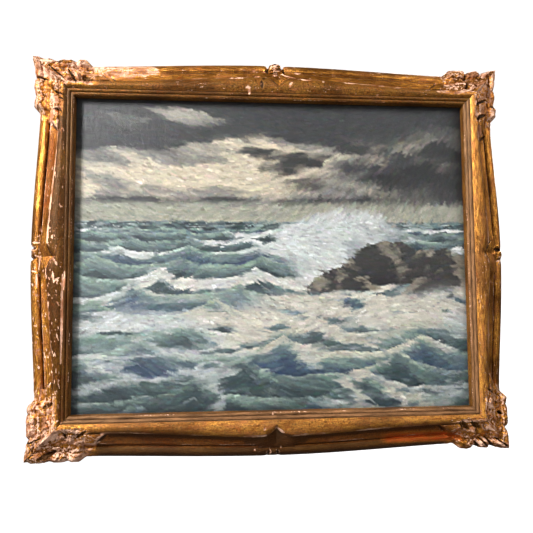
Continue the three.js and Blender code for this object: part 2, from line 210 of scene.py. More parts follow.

# Marks on each rail, one to a line: kind, half width, depth, and the places that it runs through,
# each as along and outwards, in millimetres. Cuts and dishes are carved and a boss is raised; chips,
# worn, broken and ringed spots show the gesso; stains and soot are dark. The bottom rail's stain
# below its cusp is painted shade, over reddened bole.
MARKS = {
    "top": """
chip 2.2 0.4: -294.2 60.7, -285.8 51.4
cut 0.9 1.5: -284.2 45.4, -262.5 24.7
dish 3.1 3: -278 53.2, -264.3 52.8
cut 0.8 1.5: -269.3 20, -261 10.7
chip 1.3 0.4: -260.1 23.3, -250.9 20
cut 1.2 2: -260 40.6, -244.5 15.4
cut 1.3 1.5: -258.5 55.8, -250.6 57.7
chip 1 0.4: -257.8 44.6, -242.3 21
chip 3.4 0.6: -253 49.8, -235.7 46.2
chip 1.7 0.5: -240.1 17.6, -224.9 13.7
dish 4.2 3.2: -239 27.1, -230.2 18.9
cut 1 1.5: -209.9 35.2, -196.3 19.8
chip 1.4 0.5: -35.6 14.9, -31.2 14.4
chip 0.8 0.4: -31.8 13.2, -31.8 6.4
chip 0.9 0.4: -26.9 46.3, -22.9 47
chip 0.8 0.3: -25.4 34.2, -17.9 34.6
soot 1.8 0.7: -16.5 24.4, -16.1 14.8
soot 1.4 0.4: -15.1 27.8, -12 27.1
cut 0.9 2: -9 49.9, -9.4 43.7
cut 0.8 0.9: -5.4 29.6, -0.7 24.2, 5.5 18.3
cut 0.9 1.6: -4.5 42.1, 3.4 42.6
cut 1.1 2: -7.6 41, -6.8 50
cut 1.1 2: 14.2 41, 13.4 50
boss 7.5 4: 3.3 43, 3.3 58
broken 6.8 4: 3.3 44, 3.3 58
worn 10 0: -230 46, -200 42, -150 42
chip 0.8 0.6: -1 38.3, 6.5 40.1
chip 0.8 0.5: 10.6 41.7, 17.8 36.7, 28 34.6, 36.8 27.6, 45.8 27.5
chip 1 0.5: 22.6 23.3, 19.5 19.3, 19.5 16.3
chip 1 0.4: 28.6 45.2, 35.9 44.8
chip 0.9 0.5: 211.4 16.7, 216.4 15.2
chip 0.8 0.5: 217.6 15.8, 229.8 14.9
chip 0.8 0.5: 218.6 19.2, 229.6 18.9
chip 1.7 0.8: 234.1 13.9, 249.2 18.2
chip 1.3 0.5: 240.3 23.5, 242.7 23.6
chip 0.8 0.5: 242.5 33.7, 256.8 34.5
chip 1.6 0.5: 258.2 21.8, 266.3 28.3
cut 1.2 2.5: 260.1 35.9, 253.3 21.6
cut 0.9 1.6: 262.6 58.8, 259.3 43.1
cut 0.9 1.6: 286 58.2, 281.8 44.7
chip 2 0.4: 287.7 53.3, 284.3 44.8
""",
    "right": """
chip 0.8 0.5: -241.2 47.2, -251.5 59.2
chip 0.8 0.5: -227.8 43.6, -221.2 45.5
chip 1.3 0.5: -223.3 26.2, -229.1 41.8
chip 0.8 0.5: -214.2 52.6, -211.2 57.2
dish 2.5 1.8: -199.6 45.9, -197.7 52.7
cut 1.2 2.5: -192.7 16.5, -197.8 21.7, -208.1 40
chip 1.5 0.6: -186.6 20.6, -180.6 20.9
chip 1.1 0.5: -182.2 44.4, -193 50.7
cut 1.6 3: -174.5 18.1, -180.1 24.2, -187.2 38.2
chip 2.9 1: -167.5 21.9, -148 21
cut 1.3 2.5: -143.2 20.7, -150.2 26.1, -159.5 38.9
cut 0.8 1.2: -17.9 38.6, -9.8 29, -2.9 23.1
chip 0.8 0.3: 0.3 22.9, 4.1 27.3
cut 0.8 1: 1.1 24, 5.7 28.4
cut 1.8 3: -6.5 45, -6.5 56
boss 5 2: 0.4 44, 0.4 58
chip 0.9 0.6: 10 48.4, 6.9 55.4
chip 0.8 0.3: 12.5 19.7, 12.8 20.6
chip 0.8 0.4: 27.4 46.5, 32.4 46.7
chip 1.3 0.6: 167.8 23.8, 170.8 25.2
cut 0.9 1.5: 170.3 18.1, 179.6 32.9
chip 1.8 0.6: 190.5 19.6, 196.8 33
cut 1.3 2: 190.5 35.1, 193.5 37.9
chip 0.9 0.4: 198.9 19.3, 200.1 20.8
cut 1.6 3: 203.9 40.1, 207.3 47
cut 0.9 1.6: 227.5 60.4, 226 49.4
""",
    # The stain below the cusp is painted shade, with reddened bole
    "bottom": """
cut 0.8 1.2: -282.3 42.2, -303.8 56.8
chip 0.8 -0.6: -279.9 44.5, -302 58.3
cut 0.8 1.6: -269.8 41.7, -286.4 57.8
chip 1.1 0.4: -268 30.2, -280.5 29.7
chip 0.8 -0.6: -264.8 41.5, -277.8 52.3
cut 0.8 1.2: -260.4 41.4, -275.9 55.6
cut 1.3 2.5: -259.3 46.1, -264.2 56.9
chip 0.8 -0.6: -257 42.9, -269.2 57.1
chip 1.5 0: -252.6 22.1, -258.7 28.1
dish 2.9 2.6: -249.2 19.6, -259.4 28.7
cut 1 1: -244.4 16.3, -250.8 27.2
chip 1.3 0: -235.2 20.4, -242.7 28.2
chip 1.1 0.3: -233.3 15.5, -240.1 17.8
dish 2.7 2.6: -233 18.1, -245.3 30.2
cut 0.9 1: -229 17, -236.5 29.6
cut 1.1 1: -201.6 21.9, -209.4 26, -215.8 32.2
chip 0.8 0.3: -6.2 49, -6.8 47
chip 0.9 0.6: -2.8 21.7, -6.1 25.9
chip 0.8 0.5: 1.8 19.5, -1 19.6
chip 1.5 0.3: 5.4 2.7, 5.1 3.3
ring 3.2 0.5: 15.1 19.9, 15.1 19.9
stain 10 0.8: -36 39, 0 37, 36 39
chip 1 0.2: 2 18.5, -5 22.5, -9 26
chip 1 0.3: 26.9 51.2, 25.7 50.4
chip 0.8 0.3: 30.7 31.6, 21.5 31.5
chip 0.8 0.3: 41.2 30.3, 36.2 31.3
chip 1.1 0.5: 209.7 21.4, 204.6 22.2
cut 1 1: 212.2 32.1, 204.8 24.6
chip 0.8 0.4: 228.7 37.2, 214.2 35
chip 1.6 0.5: 230.2 26.3, 232.7 36.3
dish 2 2.4: 239.7 27.2, 226.5 17.3
chip 1.3 0.5: 241.9 18.9, 233.8 16.1
chip 0.8 0.4: 246.9 54.8, 231.2 53.1
chip 1.7 0.4: 247.8 59.7, 235.8 57.8
chip 0.8 0.4: 249.4 49, 226.2 50.8
chip 2.7 0.5: 249.9 25.6, 247 34.2
chip 0.8 0.4: 250.5 45.2, 228.1 43.8
cut 0.9 1.6: 253.8 20.1, 250.1 27.4
chip 2 0.4: 266.3 60.2, 255.1 56.9
chip 1.6 0.3: 275.3 42.4, 272 44.6
chip 3.4 -0.5: 277.3 28.4, 261.8 21.6
chip 0.9 0.3: 285.1 53.1, 283.6 54.8
dish 3.4 2: 286.7 54.7, 266.7 44.8
""",
    "left": """
stain 5 0.55: 163 31, 110 34, 60 38
chip 0.8 0.2: 165 21, 120 21.5, 78 24, 40 27.5
chip 0.9 0.2: -26 10, -80 9.6, -132 9.8
cut 0.8 1.2: -231.8 59.8, -227.5 47.3, -222.2 35.4
chip 1.8 0.3: -217.9 39.1, -223.8 46.4
chip 2.5 0.3: -212.9 52.6, -216.5 44.7
chip 0.9 0.4: -205.8 14.2, -206.4 13.5
chip 1.3 0.4: -200.4 7.7, -202 6.6
chip 0.9 0.4: -198 12.7, -199.1 12
chip 0.9 0.4: -191.6 23.9, -182 17.4
dish 2.5 2.4: -186.5 33.3, -178.7 19.4
chip 0.8 -0.6: -184.7 35.1, -179 33.5, -175.6 20.6
chip 1.3 0.4: -184.2 43.5, -186.9 40.3
chip 0.9 0.5: -159.5 38.6, -176 39.8
chip 0.8 0.8: -36.1 20, -33.9 18.7, -30.1 13.3
chip 0.9 0.6: -31.6 10.5, -29.3 7
chip 1.1 0.4: -25.3 47.8, -41.4 47.5
chip 0.8 0.4: -22.7 20.7, -34.6 19.3
chip 0.8 0.6: -22.6 7.1, -44.3 8.1
chip 0.8 0.4: -20.5 56.8, -22.2 47.2
cut 0.8 1.2: -6.8 25.1, -11.9 28.5
chip 0.8 0.4: -4.7 19.9, -11.2 27.6, -19 32.4, -28.8 33
chip 0.8 0.4: -1.9 49.8, -3.5 44.3, -10.5 43.2, -19.8 44.7
cut 0.8 1.2: 10 29.1, 3.1 27.1, -2.3 23.4
chip 0.8 0.4: 14.5 55.4, 14 43.3
chip 0.8 0.4: 21.7 22.3, 16.4 22.2
chip 0.8 0.4: 30.3 26, 28.7 25.5
chip 0.8 0.5: 33.5 28.3, 14.7 29.5
chip 1.2 0.4: 33.9 44.1, 28.5 44
cut 0.8 1: 155.1 20.6, 149.5 18.9
chip 3.1 0.5: 176.6 27, 162.9 33.3
cut 0.8 1.2: 178.3 27, 177 17.4, 172 14.2
chip 0.8 -0.8: 180.2 28.4, 179.1 16.4, 173.8 12.7
cut 0.8 1.2: 192.4 19.7, 187.5 11.9
chip 2.5 0.5: 194.9 27.4, 185.7 20.7
cut 0.8 1.4: 201.6 26.3, 193.2 12.5
cut 0.8 1.2: 226.4 54.9, 219.1 37
chip 5 0.3: 241.9 49.9, 225.1 37.2
""",
}


def marks_on(side):
    """A rail's marks, each as its kind, half width, depth and line of places."""
    for row in MARKS[side].split("\n")[1:-1]:
        mark, places = row.split(": ")
        kind, width, depth = mark.split()
        line = [tuple(map(float, place.split())) for place in places.split(", ")]
        yield kind, float(width), float(depth), line


RAILS = {}
for number, side in enumerate(SIDES):
    RAILS[side] = {trait: values[number] for trait, values in TRAITS.items()}
    RAILS[side]["marks"] = list(marks_on(side))


def stations_of(half):
    """Lines across a rail, as (inner, outer, fan) from its middle to its mitre: where each meets
    the sight edge and the corner's reach, and its share of the fanned-out corner."""
    corner_start = half + CORNER_REACH - CORNER_LENGTH
    channel_start = half + CORNER_REACH - CHANNEL_END - 20
    middle = np.arange(0, MIDDLE_SPAN, CARVED_STEP)
    plain_lines = int((channel_start - MIDDLE_SPAN) / PLAIN_STEP)
    plain = np.linspace(MIDDLE_SPAN, channel_start, plain_lines, endpoint=False)
    ending = np.arange(channel_start, corner_start, CARVED_STEP)
    straight = np.concatenate([middle, plain, ending])
    fan = np.linspace(0, 1, FAN_LINES)
    inner = np.concatenate([straight, corner_start + (half - corner_start) * fan])
    outer = np.concatenate([straight, corner_start + CORNER_LENGTH * fan])
    return inner, outer, np.concatenate([np.zeros(len(straight)), fan])


def lobes_at(fan, valleys):
    """How deep in a valley between two lobes each station is; a valley has a place and a depth."""
    near = [d * np.clip(1 - np.abs(fan - place) / VALLEY_REACH, 0, 1) ** 2 for place, d in valleys]
    return np.maximum.reduce(near)


def leaf(fan, valley, offset, width):
    """How high the leaf of a corner stands over the plain moulding."""
    share = (offset - BAND_START) / (width - BAND_START)
    middle = ramp(share, 0.12, 0.38) * (1 - ramp(share, 0.52, 0.74))
    edge = ramp(share, 0.55, 0.85)
    rib = np.maximum(valley, ramp(fan, 0.88, 1))
    lobe = ramp(fan, 0, LEAF_SHOULDER) * (fan > 0)
    veins = np.abs(np.sin(fan * 24 + 2.4 * share)) ** 0.6 - 0.7
    rise = middle * (RIB_RISE * rib - 0.75 * GOUGE_DEPTH * (1 - rib))
    rise = rise + edge * LOBE_RISE * (1 - 1.25 * valley)
    return lobe * (rise + 1.1 * veins * edge * (1 - valley) + 0.8 * veins * middle)


def carve(rail, end):
    """Front of half a rail by station and column: offset from the sight edge, height, place along
    the rail and where the crest lies; and each column's zone, from the reeds out to the rim."""
    half = rail["half"]
    inner, outer, fan = (values[:, None] for values in stations_of(half))
    straight = fan == 0
    signed = inner * (1 if end else -1)
    valley = lobes_at(fan, rail["valleys"][end]) * (fan > 0)
    reach = np.minimum(inner / (half + CORNER_REACH - CORNER_LENGTH), 1)
    sweep = (1 - reach**2 + 0.5 + 0.5 * np.cos(np.pi * reach)) / 2
    swelling = ramp(fan, 0, LEAF_SHOULDER)
    middle, narrow = rail["width"][0], rail["width"][1 + end]
    width = narrow + (middle - narrow) * np.where(straight, sweep, 0)
    reaches = rail["leaf"][end] + (CORNER_REACH - rail["leaf"][end]) * ramp(fan, 0.78, 1)
    width = width + (reaches - narrow) * swelling - SCALLOP * valley
    cusp_place, cusp_depth = rail["cusp"]
    cusp = np.where(straight, np.clip(1 - np.abs(signed - cusp_place) / CUSP_HALF, 0, 1) ** 2, 0)
    away = np.where(straight, ramp(reach, 0, CREST_RUN), 1)
    shift = rail["crest"][end] * ramp(reach, 0.3, 0.7) * (1 - ramp(fan, 0, 0.5))
    corner_crest = CREST_AT_CORNER + shift
    crest = CREST_AT_MIDDLE + (corner_crest - CREST_AT_MIDDLE) * away - cusp_depth * cusp
    rim = width - RIM_WIDTH

    reeds = np.linspace(0, BAND_START, REED_POINTS)[None, :] + 0 * inner
    reed_height = LIP_HEIGHT - 1.6 * (1 - reeds / BAND_START)
    reed_height = reed_height + REED_RISE * np.abs(np.sin(np.pi * reeds / REED_WIDTH)) ** 0.6

    share = np.linspace(0, 1, BAND_POINTS + 1)[None, 1:]
    band = BAND_START + (crest - BAND_START) * share
    band_height = LIP_HEIGHT + (CREST_HEIGHT - LIP_HEIGHT) * share + BAND_CROWN * np.sin(np.pi * share)
    band_height = band_height - 1.2 * ramp(share, 0.86, 1) * straight

    # The cove: a steep step at the crest, a shallow hollow, and a narrow groove along the rim. All
    # but the step run out towards the middle, where the surface is one with the rim.
    fall = 0.5 - 0.5 * np.cos(np.pi * np.linspace(0, 1, COVE_POINTS)[None, :])
    start, stop = crest + STEP_RUN, rim - RIM_GROOVE
    cove = start + (stop - start) * fall
    chord = CREST_HEIGHT + (RIM_HEIGHT - CREST_HEIGHT) * fall
    bow = 4 * fall * (1 - fall)
    field = chord + 1.5 * fall - (STEP_DROP + 0.5) * (1 - fall) ** 1.5
    groove = np.exp(-(((fall - 0.92) / 0.10) ** 2))
    hollow = field - (HOLLOW + 1) * bow * ramp(inner, 16, 34)
    hollow = hollow - 4.2 * rail["groove"] * groove * ramp(inner + 18 * (fall - 0.92) ** 2, 22, 26)
    channel = half + CORNER_REACH - CHANNEL_END - CHANNEL_ROUND * (1 - fall) ** 2
    cut = np.where(straight, 1 - ramp(inner, channel - 2.5, channel), 0)
    cove_height = chord + SWELL * bow + (hollow - chord - SWELL * bow) * cut

    # The rim's bead, cut by two notches that leave a knob at the middle
    share = np.linspace(0, 1, RIM_POINTS)[None, :]
    knob_place, knob_half = rail["knob"]
    from_knob = np.abs(signed - knob_place)
    from_notch = np.abs(from_knob + 3 * (1 - share) - knob_half - NOTCH_WIDTH / 2)
    slit = np.clip(1 - from_notch / (0.6 * NOTCH_WIDTH), 0, 1) ** 0.7
    slit = np.where(straight, slit * ramp(share, 0.2, 0.45), 0)
    shoulder = np.where(straight, ramp(knob_half + 8 - from_knob, 0, 6), 0)
    dip = rail["nick"] * (NOTCH_DEPTH * slit[:, -1:] + 0.8 * shoulder)
    knob = np.where(straight, ramp(knob_half + 0.5 - from_knob, 0, 2.5), 0)
    rims = rim + (width + rail["stand"] * knob - dip - rim) * share
    bead = np.sin(np.pi * share)
    rim_height = RIM_HEIGHT + (EDGE_HEIGHT - RIM_HEIGHT) * share + RIM_CROWN * bead**0.8
    rim_height = rim_height - 3.6 * slit * (1 - (1 - rail["nick"]) * share)
    rim_height = rim_height - 1.2 * shoulder * share + 1.8 * knob * bead

    offset = np.concatenate([reeds, band, cove, rims], axis=1)
    height = np.concatenate([reed_height, band_height, cove_height, rim_height], axis=1)
    height = height + leaf(fan, valley, offset, width)
    along = signed + (outer - inner) * offset / CORNER_REACH * (1 if end else -1)
    points = [REED_POINTS, BAND_POINTS, COVE_POINTS, RIM_POINTS]
    zone = np.repeat([0, 1, 2, 3], points)[None, :] + 0 * fan.astype(int)
    return offset, height, along, crest + 0 * offset, zone


def stroke(along, offset, width, line):
    """Distance from a line of points, in half widths of the mark, which tapers to its ends."""
    near = np.full(along.shape, 99.0)
    pieces = len(line) - 1
    for number, (start, stop) in enumerate(zip(line, line[1:])):
        long, out = stop[0] - start[0], stop[1] - start[1]
        share = ((along - start[0]) * long + (offset - start[1]) * out) / (long**2 + out**2 + 1e-9)
        share = np.clip(share, 0, 1)
        gap = np.hypot(along - start[0] - share * long, offset - start[1] - share * out)
        taper = 0.45 + 0.75 * np.sin(np.pi * (number + share) / pieces) ** 0.7
        near = np.minimum(near, gap / (width * taper))
    return near


def softened(height, rounds):
    soft = height.copy()
    for _ in range(rounds):
        soft[:, 1:-1] = (soft[:, :-2] + soft[:, 2:] + 2 * soft[:, 1:-1]) / 4
        soft[1:-1] = (soft[:-2] + soft[2:] + 2 * soft[1:-1]) / 4
    return soft


def flakes(along, offset, seed):
    """Layers broken off in steps, from 0 for the deepest to 1 for the sound surface."""
    level = 7 * cloudy(along / 8, offset / 5, seed, 4)
    return (np.floor(level) + ramp(level - np.floor(level), 0.25, 0.6)) / 7


def wear_and_shade(rail, end, offset, height, along, crest, zone, seed):
    """Chips, gouges, rubbing and uneven carving: new heights, and how bare, dark (dirt and painted
    shade), red and dusty each spot is."""

    def field(length, width, number, octaves):
        return cloudy(along / length, offset / width, seed + number, octaves)

    def towards_corner(start, stop):
        return ramp(from_middle, rail["half"] - start, rail["half"] - stop)

    from_middle = np.abs(along)
    outer = ramp(offset, BAND_START + 2, BAND_START + 8)
    decay = rail["decay"][end] * towards_corner(40, 5) * outer
    carved = towards_corner(34, 12) * outer
    lumps = field(6.5, 4.2, 11, 4) - 0.5
    ragged = field(1.9, 1.9, 31, 3) - 0.5
    broken = flakes(along, offset, seed + 37)
    height = height + 0.4 * (field(11, 5, 0, 3) - 0.5) + 0.3 * ragged * outer
    height = height + carved * (2.4 * lumps + 3.4 * (broken - 0.5) + 1.2 * ragged)
    height = height + decay * (5 * (broken - 0.55) + 1.4 * lumps + 1.2 * ragged)
    proud = height - softened(height, 4)
    dark = 0.9 * ramp(-proud, 0.05, 0.45)
    patches = ramp(field(26, 9, 23, 3), 0.36 - 0.2 * carved, 0.62 - 0.15 * carved)
    bare = (0.62 + 0.3 * carved) * ramp(proud, 0.04, 0.4) * patches
    bare = np.maximum(bare, 0.95 * decay * ramp(0.4 * lumps - broken, -0.62, -0.5))
    bare = bare * (1 - 0.8 * dark)
    bare = np.maximum(bare, rail["specks"] * (zone == 0))
    # Each zone's dirt, and painted shade in the bottom rail's cove and rim
    dark = np.maximum(dark * (1 - 0.5 * carved), np.choose(zone, rail["dirt_and_shade"]) * (1 - carved))
    # The crest: rubbed along its edge, with painted shade at the foot of its step
    plain = 1 - towards_corner(46, 38)
    rubs = ramp(field(14, 9, 53, 3), 0.58 - 0.3 * rail["rub"][end], 0.62)
    ridge = np.exp(-(((offset - crest) / 0.9) ** 2))
    clear = ramp(from_middle, 20, 34) * plain
    bare = np.maximum(bare, 0.95 * clear * rubs * rail["rub"][end] ** 0.3 * ridge)
    # Painted shade in a band below the crest's step, widest on the bottom rail
    foot = ramp(crest + 1.5 + 2 * rail["foot"] - offset, 0, 1 + rail["foot"])
    foot = ramp(offset - crest, 0.4, 1.4) * foot
    dark = np.maximum(dark, 0.85 * foot * plain)
    red = np.zeros_like(height)
    for kind, width, depth, line in rail["marks"]:
        reach = stroke(along, offset, width, line)
        if kind == "cut":
            lip = np.exp(-(((reach - 2.1) / 0.6) ** 2))
            height = height - depth * ramp(1.4 - reach, 0, 1) + 0.3 * depth * lip
            dark = np.maximum(dark, ramp(1.6 - reach, 0, 0.9))
            bare = np.maximum(bare * ramp(reach, 0.9, 1.6), 0.5 * lip * ramp(ragged, -0.15, 0.2))
        elif kind == "dish":
            height = height - depth * np.clip(1.1 - reach**2, 0, 1)
            dark = np.maximum(dark, 0.75 * ramp(1.15 - reach, 0, 0.5))
            bare = bare * ramp(reach, 0.4, 1.2)
        elif kind == "chip":
            torn = reach + 0.9 * ragged
            height = height - depth * ramp(1.3 - torn, 0, 0.5)
            bare = np.maximum(bare, ramp(1.75 - torn, 0, 1.3))
            dark = dark * ramp(reach, 0.5, 1.3)
        elif kind == "worn":
            streaks = 0.3 * field(12, 0.9, 83, 3)
            bare = np.maximum(bare, (0.38 + streaks) * ramp(1.3 - reach - 0.8 * lumps, 0, 0.5))
            dark = dark * ramp(reach, 0.8, 1.3)
        elif kind == "stain":
            # A stain darkens and reddens; below the bottom rail's cusp its dark is painted shade
            dark = np.maximum(dark, depth * ramp(1.3 - reach, 0, 0.5))
            red = np.maximum(red, 0.4 * ramp(1.3 - reach, 0, 0.5))
        elif kind == "boss":
            height = height + depth * np.sqrt(np.clip(1 - reach**2, 0, 1))
        elif kind == "broken":
            spot = ramp(1.2 - reach, 0, 0.4)
            shards = flakes(along * 2.4, offset * 2.2, seed + 71)
            height = height + spot * depth * (shards - 0.5)
            bare = np.maximum(bare * (1 - spot), 0.9 * spot * ramp(shards, 0.45, 0.6))
            dark = np.maximum(dark * (1 - spot), 0.8 * spot * ramp(0.52 - shards, 0, 0.1))
        elif kind == "ring":
            height = height - depth * ramp(1 - reach, 0, 0.3)
            bare = np.maximum(bare, ramp(reach, 0.25, 0.55) * ramp(1.35 - reach, 0, 0.4))
            dark = np.maximum(dark, ramp(0.5 - reach, 0, 0.2))
        else:
            height = height - depth * ramp(1.2 - reach - ragged, 0, 0.5)
            dark = np.maximum(dark, ramp(1.3 - reach - ragged, 0, 0.6))
            bare = bare * ramp(reach, 0.9, 1.6)
    sprinkled = ramp(field(4.2, 1.6, 91, 2), 0.70, 0.78)
    bare = np.maximum(bare, sprinkled * rail["sprinkle"][end] * (zone > 0))
    # The bottom rail's cove, rubbed through to red, most of all in one long run
    if rail["turn"] == math.pi:
        red = np.maximum(red, 0.45 * (zone == 2) * (1 - carved))
        run = ramp(-along, 128, 150) * (1 - ramp(-along, 230, 244))
        run = run * ramp(offset, 30, 36) * (1 - ramp(offset, 44, 49))
        red = np.maximum(red, run)
        dark = dark * (1 - 0.8 * run)
    layers = 0.5 + 1.1 * (field(20, 3, 61, 4) - 0.5)
    dust = np.choose(zone, (*rail["dust"], 0.05)) * layers * 2 * (1 - carved)
    return np.minimum(height, TALLEST), bare, dark, red, np.clip(dust, 0, 1)


def rail_half(name, end, seed):
    rail = RAILS[name]
    offset, height, along, crest, zone = carve(rail, end)
    height, bare, dark, red, dust = wear_and_shade(rail, end, offset, height, along, crest, zone, seed)
    rows, front = offset.shape
    ledge = LIP_HEIGHT - LIP_THICKNESS
    edge, foot = offset[:, -1:], height[:, -1:]
    blank = np.zeros((rows, 1))
    # From the outer edge round the back to the lip: side, back, rebate wall, ledge and lip
    round_back = [(edge - UNDERCUT * (1 - share), foot * share) for share in (0.8, 0.6, 0.4, 0.2, 0)]
    round_back += [(REBATE + (edge - UNDERCUT - REBATE) * share, blank) for share in (0.66, 0.33, 0)]
    round_back += [(blank + REBATE, blank + rise) for rise in (ledge / 2, ledge)]
    round_back += [(blank, blank + rise) for rise in (ledge, *LIP_HEIGHTS)]
    round_back += [(blank, height[:, :1])]
    full_offset = np.concatenate([offset] + [pair[0] for pair in round_back], axis=1)
    full_height = np.concatenate([height] + [pair[1] for pair in round_back], axis=1)
    inner, outer, fan = (values[:, None] for values in stations_of(rail["half"]))
    gap = mitre_gap * (fan >= 0.9999)
    full_along = inner + (outer - inner) * full_offset / CORNER_REACH - gap
    full_along = full_along if end else -full_along
    # Bare, dark, red, raw wood and dust: the front, then the darkened side, the raw back, the darker
    # lip
    marks = np.zeros((*full_offset.shape, 5))
    for column, values in ((0, bare), (1, dark), (2, red), (4, dust)):
        marks[:, :front, column] = values
    marks[:, front:front + 5, 1] = 0.35
    marks[:, front + 5:front + 10, 3] = 1
    marks[:, front + 10:, 1] = 0.6
    return full_along, full_offset, full_height, marks


def grid_mesh(name, places):
    """Mesh over a grid of places [rows, columns, 3], with each vertex's row and column."""
    rows, columns, _ = places.shape
    mesh = bpy.data.meshes.new(name)
    bm = bmesh.new()
    bmesh.ops.create_grid(bm, x_segments=rows - 1, y_segments=columns - 1, size=0.5)
    bm.to_mesh(mesh)
    bm.free()
    flat = np.zeros(len(mesh.vertices) * 3)
    mesh.vertices.foreach_get("co", flat)
    flat = flat.reshape(-1, 3)
    row = np.rint((flat[:, 0] + 0.5) * (rows - 1)).astype(int)
    column = np.rint((flat[:, 1] + 0.5) * (columns - 1)).astype(int)
    mesh.vertices.foreach_set("co", places[row, column].ravel())
    return mesh, row, column


def write_out(bm, mesh):
    """Turns the faces outwards, smooths them and writes them to the mesh."""
    bmesh.ops.recalc_face_normals(bm, faces=bm.faces[:])
    for face in bm.faces:
        face.smooth = True
    bm.to_mesh(mesh)
    bm.free()


def put_in_scene(name, data):
    thing = bpy.data.objects.new(name, data)
    scene.collection.objects.link(thing)
    return thing


def close_up(mesh):
    bm = bmesh.new()
    bm.from_mesh(mesh)
    bmesh.ops.remove_doubles(bm, verts=bm.verts[:], dist=2e-6)
    bmesh.ops.holes_fill(bm, edges=[edge for edge in bm.edges if edge.is_boundary], sides=0)
    write_out(bm, mesh)


def cut_room(mesh, size, below):
    """Cuts a square-edged room into the back of a rail, round the hanger's middle."""
    tool = bpy.data.meshes.new("cutter")
    bm = bmesh.new()
    bmesh.ops.create_cube(bm, size=1)
    bmesh.ops.scale(bm, vec=Vector(size) * MM, verts=bm.verts[:])
    bmesh.ops.translate(bm, vec=(0, 0, -below * MM), verts=bm.verts[:])
    bm.to_mesh(tool)
    bm.free()
    cutter = put_in_scene("cutter", tool)
    block = put_in_scene("block", mesh)
    cutting = block.modifiers.new("room", "BOOLEAN")
    cutting.operation = "DIFFERENCE"
    cutting.object = cutter
    bpy.context.view_layer.update()
    done = block.evaluated_get(bpy.context.evaluated_depsgraph_get())
    cut = bpy.data.meshes.new_from_object(done)
    for item in (cutter, block):
        bpy.data.objects.remove(item)
    # The walls of both rooms are raw wood
    for index, vert in enumerate(cut.vertices):
        x, y, z = vert.co
        if abs(x) < ROOMS_HALF and ROOMS_LOW < z < ROOMS_HIGH and y > -ROOMS_DEPTH:
            cut.color_attributes["wear_and_shade"].data[index].color = (0, 0.3, 0, 1)
            cut.attributes["run"].data[index].vector = vert.co
    return cut


def add_piece(mesh, name, material, replaced):
    piece = put_in_scene(name, mesh)
    mesh.materials.append(material)
    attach(piece, "root")
    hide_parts(replaced)
    return piece


def set_colours(mesh, name, values):
    layer = mesh.color_attributes.new(name, "FLOAT_COLOR", "POINT")
    layer.data.foreach_set("color", np.ascontiguousarray(values, dtype=np.float32).ravel())


def make_rail(name, seed, material):
    rail = RAILS[name]
    parts = [rail_half(name, end, seed + 100 * end) for end in (0, 1)]
    along, offset, height, marks = (
        np.concatenate([low[::-1], high[1:]], axis=0) for low, high in zip(*parts)
    )
    local = np.stack([along, -height, rail["across"] + offset], axis=-1)
    turn = rail["turn"]
    turned = np.empty_like(local)
    turned[..., 0] = local[..., 0] * math.cos(turn) + local[..., 2] * math.sin(turn)
    turned[..., 1] = local[..., 1]
    turned[..., 2] = -local[..., 0] * math.sin(turn) + local[..., 2] * math.cos(turn) - hanger_above
    mesh, row, column = grid_mesh(f"gilt_rail_{name}", turned * MM)
    set_colours(mesh, "wear_and_shade", marks[row, column, :4])
    set_colours(mesh, "dust", np.repeat(marks[row, column, 4:], 4, axis=1))
    run = np.stack([along + 700 * seed, offset, height], axis=-1) * MM
    layer = mesh.attributes.new("run", "FLOAT_VECTOR", "POINT")
    layer.data.foreach_set("vector", run[row, column].astype(np.float32).ravel())
    close_up(mesh)
    if name == "top":
        mesh = cut_room(mesh, HANGER_SEAT, 0)
        mesh = cut_room(mesh, NAIL_ROOM, NAIL_ROOM_BELOW)
    mesh.set_sharp_from_angle(angle=math.radians(50))
    return add_piece(mesh, f"gilt_rail_{name}", material, f"rail_{name}")


# Shaders
def feed(value, socket):
    """Links an output to a socket, or sets the socket to a plain value."""
    if isinstance(value, bpy.types.NodeSocket):
        socket.id_data.links.new(value, socket)
    else:
        socket.default_value = value


def add(tree, kind, **inputs):
    node = tree.nodes.new(kind)
    for name, value in inputs.items():
        feed(value, node.inputs[name.replace("_", " ")])
    return node


def maths(operation, first, second):
    linked = first if isinstance(first, bpy.types.NodeSocket) else second
    node = linked.id_data.nodes.new("ShaderNodeMath")
    node.operation = operation
    feed(first, node.inputs[0])
    feed(second, node.inputs[1])
    return node.outputs[0]


def plus(first, second):
    return maths("ADD", first, second)


def minus(first, second):
    return maths("SUBTRACT", first, second)


def times(first, second):
    return maths("MULTIPLY", first, second)


def larger(first, second):
    return maths("MAXIMUM", first, second)


def blend(share, first, second):
    node = share.id_data.nodes.new("ShaderNodeMix")
    node.data_type = "RGBA"
    for index, value in ((0, share), (6, first), (7, second)):
        feed((*value, 1) if isinstance(value, tuple) else value, node.inputs[index])
    return node.outputs[2]


def spread(value, low, high, to_low=0.0, to_high=1.0):
    node = add(value.id_data, "ShaderNodeMapRange", Value=value, From_Min=low, From_Max=high)
    node.interpolation_type = "SMOOTHSTEP"
    node.inputs["To Min"].default_value = to_low
    node.inputs["To Max"].default_value = to_high
    return node.outputs[0]


def noise(vector, scale, detail=3.0, rough=0.55):
    settings = {"Vector": vector, "Scale": scale, "Detail": detail, "Roughness": rough}
    return add(vector.id_data, "ShaderNodeTexNoise", **settings).outputs[0]


def stretched(vector, scale):
    return add(vector.id_data, "ShaderNodeMapping", Vector=vector, Scale=scale).outputs[0]


def named(tree, name):
    node = tree.nodes.new("ShaderNodeAttribute")
    node.attribute_name = name
    return node


def new_material(name):
    material = bpy.data.materials.new(name)
    material.use_nodes = True
    tree = material.node_tree
    return material, tree, tree.nodes["Principled BSDF"]


def coat(tree, shader, colour, rough, relief, depth):
    """Gives a finish its colour, its roughness and a relief of some depth in metres."""
    bump = add(tree, "ShaderNodeBump", Height=relief, Distance=depth, Strength=1.0)
    for name, value in (("Base Color", colour), ("Roughness", rough), ("Normal", bump.outputs[0])):
        tree.links.new(value, shader.inputs[name])


